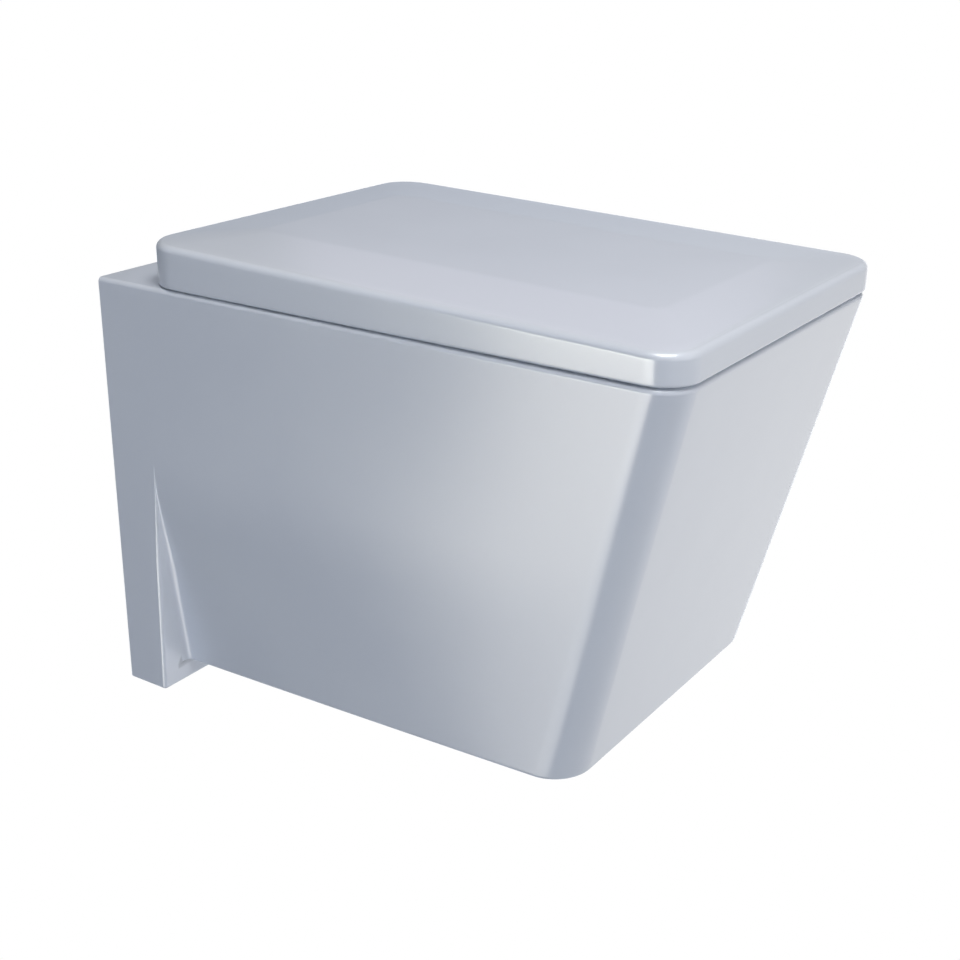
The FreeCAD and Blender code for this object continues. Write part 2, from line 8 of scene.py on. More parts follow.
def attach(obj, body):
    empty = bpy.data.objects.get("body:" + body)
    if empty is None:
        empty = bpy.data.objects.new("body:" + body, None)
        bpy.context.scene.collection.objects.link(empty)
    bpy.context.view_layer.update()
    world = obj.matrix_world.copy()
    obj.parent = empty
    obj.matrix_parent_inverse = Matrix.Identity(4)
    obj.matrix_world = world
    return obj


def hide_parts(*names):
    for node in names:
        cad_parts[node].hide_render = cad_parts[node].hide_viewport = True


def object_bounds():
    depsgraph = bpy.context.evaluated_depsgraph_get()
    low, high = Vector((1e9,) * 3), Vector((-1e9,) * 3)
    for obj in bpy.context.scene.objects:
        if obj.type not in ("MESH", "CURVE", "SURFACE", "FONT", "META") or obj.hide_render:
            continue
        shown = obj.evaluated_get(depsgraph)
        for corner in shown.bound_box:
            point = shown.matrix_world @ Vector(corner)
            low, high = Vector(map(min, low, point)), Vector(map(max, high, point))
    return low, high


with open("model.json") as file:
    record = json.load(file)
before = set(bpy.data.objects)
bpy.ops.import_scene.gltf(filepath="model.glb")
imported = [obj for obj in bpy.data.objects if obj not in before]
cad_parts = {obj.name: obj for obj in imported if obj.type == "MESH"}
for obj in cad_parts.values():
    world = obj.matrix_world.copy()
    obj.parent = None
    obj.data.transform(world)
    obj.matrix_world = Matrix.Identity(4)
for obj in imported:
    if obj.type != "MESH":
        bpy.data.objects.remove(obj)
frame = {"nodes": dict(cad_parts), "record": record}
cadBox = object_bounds()
mm = 0.001
quarterTurn = math.pi / 2
print("frame loaded:", len(frame["nodes"]), "nodes")


def addObject(name, data):
    made = bpy.data.objects.new(name, data)
    bpy.context.collection.objects.link(made)
    return made


# camera with the view of the photograph
cameraView = {"place": (-1.027058, -0.9591, 0.386918), "azimuth": -56.170193, "elevation": 21.523159,
              "roll": 0.594059, "lens": 55.984, "sensor": 36.0, "farClip": 100}


def addCamera(view):
    azimuth, elevation, roll = (math.radians(view[key]) for key in ("azimuth", "elevation", "roll"))
    back = Vector((math.sin(azimuth) * math.cos(elevation), -math.cos(azimuth) * math.cos(elevation),
                   math.sin(elevation)))
    right = Vector((math.cos(azimuth), math.sin(azimuth), 0))
    above = back.cross(right)
    tiltedRight = right * math.cos(roll) + above * math.sin(roll)
    tiltedUp = above * math.cos(roll) - right * math.sin(roll)
    data = bpy.data.cameras.new("photoCamera")
    data.lens = view["lens"]
    data.sensor_width = view["sensor"]
    data.sensor_fit = "HORIZONTAL"
    data.clip_end = view["farClip"]
    camera = addObject("photoCamera", data)
    turn = Matrix((tiltedRight, tiltedUp, back)).transposed().to_4x4()
    camera.matrix_world = Matrix.Translation(view["place"]) @ turn
    bpy.context.scene.camera = camera


addCamera(cameraView)
bpy.context.scene.view_settings.view_transform = "Standard"
print("camera placed")


# studio with a pale floor, softboxes, and dark surroundings that glow low down and on the right
studio = {"floorDrop": 1.3, "floorHalf": 30.0, "centre": (0, -0.3, -0.1), "distance": 3.0}
# azimuth runs from +X towards +Y, in degrees
glows = {
    "rightGlow": {"from": (5, -20), "falloff": 20, "light": (1.194, 1.131, 1.011)},
    "farGlow": {"from": (30, -20), "falloff": 20, "light": (0.691, 0.884, 1.234)},
    "frontGlow": {"from": (316, -30), "falloff": 20, "light": (0.960, 0.985, 1.070)},
    "floorGlow": {"from": (0, -90), "falloff": 5, "light": (0.651, 0.672, 0.697)},
}
softboxes = {
    "topKey": {"from": (228, 65), "size": (1.9, 1.5), "power": 70.7, "tint": (0.99, 0.99, 1.0)},
    "frontFill": {"from": (270, 15), "size": (1.5, 1.5), "power": 17.6, "tint": (0.95, 0.96, 1.0)},
    "sideFill": {"from": (180, -15), "size": (1.5, 1.5), "power": 21.1, "tint": (0.74, 0.83, 1.0)},
    "backFill": {"from": (30, 35), "size": (1.5, 1.5), "power": 3.0, "tint": (0.88, 0.80, 1.0)},
    "wallFill": {"from": (75, -10), "size": (1.5, 1.5), "power": 40.0, "tint": (0.9, 0.95, 1.0)},
    "highStrip": {"from": (170, -5), "size": (2.1, 0.54), "power": 32.5, "tint": (0.99, 1.0, 0.86)},
    "middleStrip": {"from": (170, -20), "size": (2.1, 1.06), "power": 32.0, "tint": (1.0, 0.95, 0.85)},
    "lowStrip": {"from": (170, -40), "size": (2.1, 1.06), "power": 18.4, "tint": (1.0, 0.96, 0.88)},
}
# softboxes that show as gloss alone, and those that never show as gloss
glossOnly = ("highStrip", "middleStrip", "lowStrip")
matteOnly = ("frontFill", "sideFill", "wallFill")


def heading(azimuth, elevation):
    turn, rise = math.radians(azimuth), math.radians(elevation)
    return Vector((math.cos(turn) * math.cos(rise), math.sin(turn) * math.cos(rise), math.sin(rise)))


def addFloor(sizes):
    mesh = bpy.data.meshes.new("studioFloor")
    half = sizes["floorHalf"]
    low = cadBox[0][2] - sizes["floorDrop"]
    corners = [(-half, -half, low), (half, -half, low), (half, half, low), (-half, half, low)]
    mesh.from_pydata(corners, [], [(0, 1, 2, 3)])
    floor = addObject("studioFloor", mesh)
    paint = bpy.data.materials.new("paleFloor")
    paint.use_nodes = True
    shader = paint.node_tree.nodes["Principled BSDF"]
    shader.inputs["Base Color"].default_value = (0, 0, 0, 1)
    shader.inputs["Specular IOR Level"].default_value = 0
    shader.inputs["Emission Color"].default_value = (1, 1, 1, 1)
    shader.inputs["Emission Strength"].default_value = 1.0
    mesh.materials.append(paint)
    floor.visible_diffuse = False
    floor.visible_glossy = False
    floor.visible_shadow = False  # low softboxes shine through it


def addGlow(tree, around, glow):
    towards = tree.nodes.new("ShaderNodeVectorMath")
    towards.operation = "DOT_PRODUCT"
    towards.inputs[1].default_value = heading(*glow["from"])
    share = tree.nodes.new("ShaderNodeMapRange")
    share.inputs["From Min"].default_value = -1.0
    falloff = tree.nodes.new("ShaderNodeMath")
    falloff.operation = "POWER"
    falloff.inputs[1].default_value = glow["falloff"]
    shine = tree.nodes.new("ShaderNodeBackground")
    shine.inputs["Color"].default_value = (*glow["light"], 1)
    tree.links.new(around.outputs["Generated"], towards.inputs[0])
    tree.links.new(towards.outputs["Value"], share.inputs["Value"])
    tree.links.new(share.outputs["Result"], falloff.inputs[0])
    tree.links.new(falloff.outputs[0], shine.inputs["Strength"])
    return shine.outputs[0]


def addSurroundings():
    world = bpy.data.worlds.new("paleStudio")
    world.use_nodes = True
    tree = world.node_tree
    tree.nodes.clear()
    out = tree.nodes.new("ShaderNodeOutputWorld")
    seen = tree.nodes.new("ShaderNodeBackground")
    seen.inputs["Color"].default_value = (1, 1, 1, 1)
    around = tree.nodes.new("ShaderNodeTexCoord")
    shines = [addGlow(tree, around, glow) for glow in glows.values()]
    light = shines[0]
    for shine in shines[1:]:
        both = tree.nodes.new("ShaderNodeAddShader")
        tree.links.new(light, both.inputs[0])
        tree.links.new(shine, both.inputs[1])
        light = both.outputs[0]
    path = tree.nodes.new("ShaderNodeLightPath")
    mix = tree.nodes.new("ShaderNodeMixShader")
    tree.links.new(path.outputs["Is Camera Ray"], mix.inputs[0])
    tree.links.new(light, mix.inputs[1])
    tree.links.new(seen.outputs[0], mix.inputs[2])
    tree.links.new(mix.outputs[0], out.inputs["Surface"])
    bpy.context.scene.world = world


def addSoftbox(name, box):
    data = bpy.data.lights.new(name, "AREA")
    data.shape = "RECTANGLE"
    data.size, data.size_y = box["size"]
    data.energy = box["power"]
    data.color = box["tint"]
    light = addObject(name, data)
    outward = heading(*box["from"])
    light.location = Vector(studio["centre"]) + outward * studio["distance"]
    light.rotation_euler = outward.to_track_quat("Z", "Y").to_euler()
    light.visible_diffuse = name not in glossOnly
    light.visible_glossy = name not in matteOnly
    light.visible_camera = False


addFloor(studio)
addSurroundings()
for boxName, boxLook in softboxes.items():
    addSoftbox(boxName, boxLook)
print("studio ready")


# finishes, with the part of the noise's range that the tint and the roughness follow
noiseSpan = {"tint": (0.35, 0.65), "rough": (0.3, 0.7)}
grainDetail = 2


def newFinish(name):
    finish = bpy.data.materials.new(name)
    finish.use_nodes = True
    tree = finish.node_tree
    place = tree.nodes.new("ShaderNodeTexCoord")
    return finish, tree, tree.nodes["Principled BSDF"], place.outputs["Object"]


def noiseOn(tree, place, scale, detail, stretch):
    mapping = tree.nodes.new("ShaderNodeMapping")
    mapping.inputs["Scale"].default_value = stretch
    noise = tree.nodes.new("ShaderNodeTexNoise")
    noise.inputs["Scale"].default_value = scale
    noise.inputs["Detail"].default_value = detail
    tree.links.new(place, mapping.inputs["Vector"])
    tree.links.new(mapping.outputs["Vector"], noise.inputs["Vector"])
    return noise.outputs["Fac"]


def tintBetween(tree, factor, dark, pale):
    ramp = tree.nodes.new("ShaderNodeValToRGB")
    low, high = noiseSpan["tint"]
    ramp.color_ramp.elements[0].position = low
    ramp.color_ramp.elements[0].color = (*dark, 1)
    ramp.color_ramp.elements[1].position = high
    ramp.color_ramp.elements[1].color = (*pale, 1)
    tree.links.new(factor, ramp.inputs["Fac"])
    return ramp.outputs["Color"]


def spread(tree, factor, low, high):
    span = tree.nodes.new("ShaderNodeMapRange")
    span.inputs["From Min"].default_value, span.inputs["From Max"].default_value = noiseSpan["rough"]
    span.inputs["To Min"].default_value = low
    span.inputs["To Max"].default_value = high
    tree.links.new(factor, span.inputs["Value"])
    return span.outputs["Result"]


def bumpFrom(tree, height, strength, distance):
    bump = tree.nodes.new("ShaderNodeBump")
    bump.inputs["Strength"].default_value = strength
    bump.inputs["Distance"].default_value = distance
    tree.links.new(height, bump.inputs["Height"])
    return bump.outputs["Normal"]


finishes = {
    "glaze": {"dark": (0.76, 0.80, 0.87), "pale": (0.78, 0.82, 0.885), "cloud": 7, "detail": 3,
              "stretch": (1, 1, 1), "rough": (0.20, 0.24), "grain": 26, "bump": 0.05, "bumpSize": 0.0006,
              "metal": 0, "ior": 1.7},
    "seat_plastic": {"dark": (0.77, 0.81, 0.875), "pale": (0.785, 0.825, 0.89), "cloud": 5, "detail": 2,
                     "stretch": (1, 1, 1), "rough": (0.20, 0.24), "grain": 60, "bump": 0.03,
                     "bumpSize": 0.0004, "metal": 0, "ior": 1.7},
    "chrome": {"dark": (0.70, 0.71, 0.73), "pale": (0.82, 0.83, 0.85), "cloud": 40, "detail": 4,
               "stretch": (1, 1, 1), "rough": (0.06, 0.13), "grain": 180, "bump": 0.02, "bumpSize": 0.0002,
               "metal": 1, "ior": 1.5},
    "steel": {"dark": (0.42, 0.43, 0.45), "pale": (0.62, 0.63, 0.65), "cloud": 60, "detail": 5,
              "stretch": (1, 9, 1), "rough": (0.28, 0.42), "grain": 300, "bump": 0.10, "bumpSize": 0.0002,
              "metal": 1, "ior": 1.5},
    "rubber": {"dark": (0.028, 0.029, 0.031), "pale": (0.05, 0.051, 0.054), "cloud": 90, "detail": 5,
               "stretch": (1, 1, 1), "rough": (0.55, 0.75), "grain": 900, "bump": 0.25, "bumpSize": 0.0003,
               "metal": 0, "ior": 1.5},
    "nylon": {"dark": (0.68, 0.69, 0.70), "pale": (0.76, 0.77, 0.78), "cloud": 70, "detail": 4,
              "stretch": (1, 1, 1), "rough": (0.42, 0.55), "grain": 700, "bump": 0.12, "bumpSize": 0.0002,
              "metal": 0, "ior": 1.5},
}


def makeFinish(name, look):
    finish, tree, shader, place = newFinish(name + "Finish")
    cloud = noiseOn(tree, place, look["cloud"], look["detail"], look["stretch"])
    grain = noiseOn(tree, place, look["grain"], grainDetail, look["stretch"])
    tree.links.new(tintBetween(tree, cloud, look["dark"], look["pale"]), shader.inputs["Base Color"])
    tree.links.new(spread(tree, cloud, *look["rough"]), shader.inputs["Roughness"])
    tree.links.new(bumpFrom(tree, grain, look["bump"], look["bumpSize"]), shader.inputs["Normal"])
    shader.inputs["Metallic"].default_value = look["metal"]
    shader.inputs["IOR"].default_value = look["ior"]
    return finish


finishOf = {name: makeFinish(name, look) for name, look in finishes.items()}
print("finishes made:", len(finishOf))


# helpers for the pieces, with angles in degrees and the lengths that count as nothing in metres
flatAngle = 0.05
sharpAngle = 32
weldGap = {"cad": 0.00001, "skin": 0.00004, "pad": 0.00001}
planeGap = 0.00001
slotOf = {node: solid.data.materials[0].name for node, solid in frame["nodes"].items()}
bodyOf = {}
for body, members in frame["record"]["behaviour"]["bodies"].items():
    for node in members:
        bodyOf[node] = body


def smoothShade(mesh):
    mesh.shade_smooth()
    mesh.set_sharp_from_angle(angle=math.radians(sharpAngle))


def pieceFrom(name, mesh, node):
    mesh.materials.clear()
    mesh.materials.append(finishOf[slotOf[node]])
    piece = addObject(name, mesh)
    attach(piece, bodyOf[node])
    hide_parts(node)
    return piece


def mergedCopy(node):
    shape = bmesh.new()
    shape.from_mesh(frame["nodes"][node].data)
    bmesh.ops.remove_doubles(shape, verts=shape.verts, dist=weldGap["cad"])
    return shape


def evenNormals(piece):
    weighted = piece.modifiers.new("evenNormals", "WEIGHTED_NORMAL")
    weighted.keep_sharp = True


def plainMesh(name, shape):
    mesh = bpy.data.meshes.new(name)
    shape.to_mesh(mesh)
    shape.free()
    return mesh


def smoothMesh(name, shape):
    mesh = plainMesh(name, shape)
    smoothShade(mesh)
    return mesh


def evaluatedMesh(holder):
    graph = bpy.context.evaluated_depsgraph_get()
    return bpy.data.meshes.new_from_object(holder.evaluated_get(graph))


def joinFlatFaces(shape):
    bmesh.ops.dissolve_limit(shape, angle_limit=math.radians(flatAngle),
                             verts=shape.verts, edges=shape.edges)


def openEdges(shape):
    return sum(1 for edge in shape.edges if len(edge.link_faces) != 2)


def dressNode(node):
    shape = mergedCopy(node)
    joinFlatFaces(shape)
    evenNormals(pieceFrom(node + "Dress", smoothMesh(node + "Dress", shape), node))


# pan with a smooth outside skin round the moulded inside, sizes in millimetres
panForm = {"top": 80, "width": 360, "reach": 549, "flangeDrop": 19.5, "flangeFoot": 43.6,
           "flangeDraft": 1.66, "underBack": 299.6, "underFront": 328, "underReach": 466,
           "underDepth": 342.3, "underRise": 3.01, "cornerTop": 30, "cornerLow": 33, "bendDepth": 181,
           "bendRun": 60, "topEdge": 4, "lowEdge": 4, "flangeEdge": 3.5, "flangeRoot": 8,
           "flangeLowEdge": 3, "edgeShare": 0.3, "rootShare": 0.6, "sideStart": 2, "leanDrop": 10,
           "samePoint": 0.0001}
panCount = {"flangeSide": 5, "flangeEdge": 6, "flangeFace": 3, "flangeRoot": 8, "side": 24, "corner": 16,
            "front": 9, "edgeRows": 8, "bendRows": 15, "lowRows": 18, "footRows": 3, "bottomTries": 4}
panUpperRows = (12, 25, 45, 70, 95, 120, 138)
# faces of the CAD pan within these distances of its outside give way to the skin
panPeel = {"flat": 0.01, "under": 4.5, "edgeDepth": 5.2, "edgeInset": 6.8, "wallInset": 2.5}

flangeLast = panCount["flangeSide"] + panCount["flangeEdge"] + panCount["flangeFace"]
rootLast = flangeLast + panCount["flangeRoot"]
bendStart = panForm["bendDepth"] - panForm["bendRun"] / 2
bendEnd = panForm["bendDepth"] + panForm["bendRun"] / 2
flangeSlope = math.tan(math.radians(panForm["flangeDraft"]))
underSlope = math.tan(math.radians(panForm["underRise"]))
flangeUnder = panForm["underDepth"] + underSlope * (panForm["underReach"] - panForm["flangeFoot"])
flangeHeight = flangeUnder + panForm["flangeDrop"]
bendSlope = (panForm["width"] - panForm["underBack"]) / 2 / (flangeUnder - panForm["bendDepth"])
frontTaper = (panForm["width"] - panForm["underFront"]) / 2 / panForm["underDepth"]
frontSlant = (panForm["reach"] - panForm["underReach"]) / panForm["underDepth"]


def flangeFront(depth):
    return panForm["flangeFoot"] + flangeSlope * (flangeHeight - depth)


flangeKink = flangeFront(bendStart)


def underAt(y):
    return panForm["underDepth"] + underSlope * (panForm["underReach"] + y)


def halfBack(depth):
    half = panForm["width"] / 2
    if depth <= bendStart:
        return half
    if depth >= bendEnd:
        return half - bendSlope * (depth - panForm["bendDepth"])
    return half - bendSlope * (depth - bendStart) ** 2 / (2 * panForm["bendRun"])


def frontCorner(depth):
    narrow = panForm["width"] / 2 - frontTaper * depth
    front = -(panForm["reach"] - frontSlant * depth)
    grow = panForm["cornerLow"] - panForm["cornerTop"]
    return narrow, front, panForm["cornerTop"] + grow * depth / panForm["underDepth"]


def sideAt(y, depth):
    wide = halfBack(depth)
    narrow, front = frontCorner(depth)[:2]
    share = max(0, (-y - flangeKink) / (-front - flangeKink))
    return wide + (narrow - wide) * share


# outline of the flange from the wall to the end of its root
def flangeOutline(face, wide):
    half = panForm["width"] / 2
    step = half - wide
    edge = min(panForm["flangeEdge"], panForm["edgeShare"] * step)
    root = min(panForm["flangeRoot"], panForm["rootShare"] * step)
    straight = face - panForm["flangeEdge"]
    count = panCount["flangeSide"]
    points = [(half, -straight * i / count) for i in range(count)]
    count = panCount["flangeEdge"]
    for i in range(count + 1):
        angle = quarterTurn * i / count
        points.append((half - edge + edge * math.cos(angle), -face + edge - edge * math.sin(angle)))
    count = panCount["flangeFace"]
    for i in range(1, count):
        points.append((half - edge + (wide + root - half + edge) * i / count, -face))
    count = panCount["flangeRoot"]
    for i in range(count + 1):
        angle = quarterTurn * i / count
        points.append((wide + root - root * math.sin(angle), -face - root + root * math.cos(angle)))
    return points


# right half of the outline at one depth, from the wall to the middle of the front
def panOutline(depth):
    wide = halfBack(depth)
    narrow, front, radius = frontCorner(depth)
    face = min(flangeFront(depth), flangeKink)
    points = flangeOutline(face, wide)
    along = Vector((narrow - wide, front + flangeKink)).normalized()
    turn = math.acos(-along.x)
    arcStart = Vector((narrow, front)) - along * radius * math.tan(turn / 2)
    spoke = Vector((-along.y, along.x)) * radius
    centre = arcStart - spoke
    count = panCount["side"]
    first = -face - panForm["flangeRoot"] - panForm["sideStart"]
    for i in range(count):
        y = first + (arcStart.y - first) * i / count
        points.append((sideAt(y, depth), y))
    count = panCount["corner"]
    for i in range(count + 1):
        angle = turn * i / count
        points.append((centre.x + spoke.x * math.cos(angle) + spoke.y * math.sin(angle),
                       centre.y + spoke.y * math.cos(angle) - spoke.x * math.sin(angle)))
    lastX = points[-1][0]
    count = panCount["front"]
    points += [(lastX * (1 - i / count), front) for i in range(1, count + 1)]
    return [Vector(point) for point in points]


def outwardAt(points, index):
    before = points[max(index - 1, 0)]
    after = points[min(index + 1, len(points) - 1)]
    along = after - before
    if index == len(points) - 1:
        along = Vector((-1, 0))
    if index == 0 or along.length < panForm["samePoint"]:
        along = Vector((0, -1))
    along.normalize()
    return Vector((-along.y, along.x))


def at(point, depth):
    return Vector((point.x, point.y, panForm["top"] - depth)) * mm


# lean of the wall from upright, between two outlines
def leanAt(higher, lower, outward):
    return math.atan((higher - lower).dot(outward) / panForm["leanDrop"])


def topEdgePoints(index, top, below):
    outward = outwardAt(top, index)
    lean = max(0, leanAt(top[index], below[index], outward))
    radius = panForm["topEdge"]
    tangent = radius / math.tan((quarterTurn - lean) / 2)
    points = []
    for i in range(panCount["edgeRows"] + 1):
        angle = (quarterTurn + lean) * i / panCount["edgeRows"]
        inset = -tangent + radius * math.sin(angle)
        points.append(at(top[index] + outward * inset, radius - radius * math.cos(angle)))
    return points


# depth where a column reaches the underside
def bottomAt(index):
    if index <= flangeLast:
        return flangeUnder
    bottom = panForm["underDepth"]
    for tries in range(panCount["bottomTries"]):
        bottom = underAt(panOutline(bottom)[index].y)
    return bottom


# the low edge at a column, with its rounding run out along the root of the flange
def lowCorner(index, bottom):
    low = panOutline(bottom)
    higher = panOutline(bottom - panForm["leanDrop"])
    outward = outwardAt(low, index)
    lean = leanAt(higher[index], low[index], outward)
    radius = panForm["lowEdge"]
    if index <= rootLast:
        share = max(0, index - flangeLast) / panCount["flangeRoot"]
        radius = radius * math.sin(quarterTurn * share)
        outward = Vector((math.sin(quarterTurn * share), -math.cos(quarterTurn * share)))
        lean = lean * share
    tangent = radius * math.tan((quarterTurn - lean) / 2)
    return {"spot": low[index], "outward": outward, "lean": lean, "radius": radius, "tangent": tangent}


def lowEdgePoints(corner, bottom):
    outward, lean, radius, tangent = (corner[key] for key in ("outward", "lean", "radius", "tangent"))
    across = tangent * math.sin(lean) - radius * math.cos(lean)
    down = -tangent * math.cos(lean) - radius * math.sin(lean)
    points = []
    for i in range(1, panCount["edgeRows"] + 1):
        angle = lean + (quarterTurn - lean) * i / panCount["edgeRows"]
        inset = across + radius * math.cos(angle)
        depth = bottom + down + radius * math.sin(angle) + underSlope * outward.y * inset
        points.append(at(corner["spot"] + outward * inset, depth))
    return points


def footPoints(index, bottom):
    radius = panForm["flangeLowEdge"]
    last = flangeHeight - radius
    points = []
    for i in range(1, panCount["footRows"] + 1):
        depth = bottom + (last - bottom) * i / panCount["footRows"]
        points.append(at(panOutline(depth)[index], depth))
    share = (index - panCount["flangeSide"]) / panCount["flangeEdge"]
    turn = quarterTurn * min(1, max(0, share))
    outward = Vector((math.cos(turn), -math.sin(turn)))
    foot = panOutline(flangeHeight)[index]
    for i in range(1, panCount["edgeRows"] + 1):
        angle = quarterTurn * i / panCount["edgeRows"]
        inset = radius * (math.cos(angle) - 1)
        points.append(at(foot + outward * inset, last + radius * math.sin(angle)))
    return points


# columns of points down the skin: shared rows, rows round the low edge, rows of the flange's foot
def panColumns():
    top = panOutline(0)
    below = panOutline(panForm["leanDrop"])
    bendRows = panCount["bendRows"]
    depths = list(panUpperRows)
    depths += [bendStart + panForm["bendRun"] * i / bendRows for i in range(bendRows + 1)]
    outlines = [panOutline(depth) for depth in depths]
    columns = []
    for index in range(len(top)):
        shared = topEdgePoints(index, top, below)
        shared += [at(outline[index], depth) for outline, depth in zip(outlines, depths)]
        bottom = bottomAt(index)
        corner = lowCorner(index, bottom)
        end = bottom - corner["tangent"] * math.cos(corner["lean"])
        for i in range(1, panCount["lowRows"] + 1):
            depth = bendEnd + (end - bendEnd) * i / panCount["lowRows"]
            shared.append(at(panOutline(depth)[index], depth))
        lowEdge = lowEdgePoints(corner, bottom) if index >= flangeLast else []
        foot = footPoints(index, bottom) if index <= flangeLast else []
        columns.append((shared, lowEdge, foot))
    return columns


def addSheet(shape, grid, flip):
    for left, right in zip(grid, grid[1:]):
        for i in range(len(left) - 1):
            corners = [left[i], left[i + 1], right[i + 1], right[i]]
            if len(set(corners)) == len(corners):
                shape.faces.new(corners[::-1] if flip else corners)


def placed(shape, points, sign):
    return [shape.verts.new((point.x * sign, point.y, point.z)) for point in points]


def panSkin(shape):
    columns = panColumns()
    sides = []
    for sign in (1, -1):
        sides.append([[placed(shape, points, sign) for points in column] for column in columns])
    for side, flip in zip(sides, (False, True)):
        addSheet(shape, [column[0] for column in side], flip)
        addSheet(shape, [[column[0][-1]] + column[1] for column in side[flangeLast:]], flip)
        addSheet(shape, [[column[0][-1]] + column[2] for column in side[:flangeLast + 1]], flip)
    right, left = sides
    joinRight = [right[flangeLast][0][-1]] + right[flangeLast][2]
    joinLeft = [left[flangeLast][0][-1]] + left[flangeLast][2]
    addSheet(shape, [joinRight, joinLeft], False)
    underside = [right[flangeLast][0][-1]] + [column[1][-1] for column in right[flangeLast + 1:]]
    underside += [column[1][-1] for column in left[:flangeLast:-1]] + [left[flangeLast][0][-1]]
    shape.faces.new(underside)
    footRing = [column[2][-1] for column in right[:flangeLast + 1]]
    footRing += [column[2][-1] for column in left[flangeLast::-1]]
    shape.faces.new(footRing)
    shape.edges.new((right[0][0][0], left[0][0][0]))


def onPanOutside(face):
    middle = face.calc_center_median() / mm
    x, y, depth = abs(middle.x), middle.y, panForm["top"] - middle.z
    if depth < panPeel["flat"] or y > -panPeel["flat"] or depth > underAt(y) - panPeel["under"]:
        return True
    front, radius = frontCorner(depth)[1:]
    sideInset = sideAt(y, depth) - x
    frontInset = y - front
    inset = min(sideInset, frontInset)
    if sideInset < radius and frontInset < radius:
        inset = radius - math.hypot(radius - sideInset, radius - frontInset)
    nearEdge = depth < panPeel["edgeDepth"]
    return inset < panPeel["edgeInset" if nearEdge else "wallInset"]


def fillPlane(shape, onPlane, normal):
    edges = [edge for edge in shape.edges
             if len(edge.link_faces) < 2 and all(onPlane(vert.co) for vert in edge.verts)]
    bmesh.ops.triangle_fill(shape, use_beauty=True, use_dissolve=True, edges=edges, normal=normal)


def makePan():
    shape = mergedCopy("pan")
    outside = [face for face in shape.faces if onPanOutside(face)]
    bmesh.ops.delete(shape, geom=outside, context="FACES")
    joinFlatFaces(shape)
    panSkin(shape)
    bmesh.ops.remove_doubles(shape, verts=shape.verts, dist=weldGap["skin"])
    top = panForm["top"] * mm
    fillPlane(shape, lambda spot: abs(spot.z - top) < planeGap, (0, 0, 1))
    fillPlane(shape, lambda spot: abs(spot.y) < planeGap, (0, 1, 0))
    bmesh.ops.recalc_face_normals(shape, faces=shape.faces)
    print("pan faces:", len(shape.faces), "open edges:", openEdges(shape))
    evenNormals(pieceFrom("panCasting", smoothMesh("panCasting", shape), "pan"))


makePan()


# lid as one closed shell, heights in millimetres above the pan's top
lidForm = {"half": 180, "front": -549.4, "back": -51.1, "gap": 1, "frontHeight": 25.2, "backHeight": 38,
           "wall": 5, "panel": 4.5, "frontCorner": 30, "backCorner": 35, "topEdge": 6, "lowEdge": 2.4,
           "innerEdge": 3, "rise": 4, "sideBorder": 82, "endBorder": 60, "plateauCorner": 14,
           "crease": 0.05, "borderStart": 0.12, "axisY": -59.1, "axisHeight": 26, "swing": 25.4}
lidCount = {"corner": 14, "long": 30, "short": 22, "edgeRows": 10, "lowRows": 5, "wallRows": 3,
            "borderRows": 9, "creaseRows": 6}
lidSlope = (lidForm["backHeight"] - lidForm["frontHeight"]) / (lidForm["back"] - lidForm["front"])


def lidEdge(y):
    return lidForm["backHeight"] - lidSlope * (lidForm["back"] - y)


# the low edge, raised behind the hinge so that it clears the pan as it swings
def lidLow(y):
    behind = max(0, y - lidForm["axisY"])
    return max(lidForm["gap"], lidForm["axisHeight"] - math.sqrt(lidForm["swing"] ** 2 - behind ** 2))


def roundedRing(sideInset, endInset, frontRadius, backRadius):
    half = lidForm["half"] - sideInset
    front = lidForm["front"] + endInset
    back = lidForm["back"] - endInset
    centres = [(half - frontRadius, front + frontRadius, frontRadius),
               (half - backRadius, back - backRadius, backRadius),
               (backRadius - half, back - backRadius, backRadius),
               (frontRadius - half, front + frontRadius, frontRadius)]
    ring = []
    for index, (x, y, radius) in enumerate(centres):
        for i in range(lidCount["corner"] + 1):
            angle = quarterTurn * (index - 1 + i / lidCount["corner"])
            outward = Vector((math.cos(angle), math.sin(angle)))
            ring.append((Vector((x, y)) + outward * radius, outward))
        start, outward = ring[-1]
        x, y, radius = centres[(index + 1) % len(centres)]
        end = Vector((x, y)) + outward * radius
        count = lidCount["short"] if index % 2 else lidCount["long"]
        ring += [(start.lerp(end, i / count), outward) for i in range(1, count)]
    return ring


# share of the rise across the border, with a soft crease at the plateau's edge
def creased(share):
    width = lidForm["crease"]
    if share <= 1 - width:
        return share
    return share - (share - 1 + width) ** 2 / (4 * width)


def steps(count):
    return [i / count for i in range(1, count + 1)]


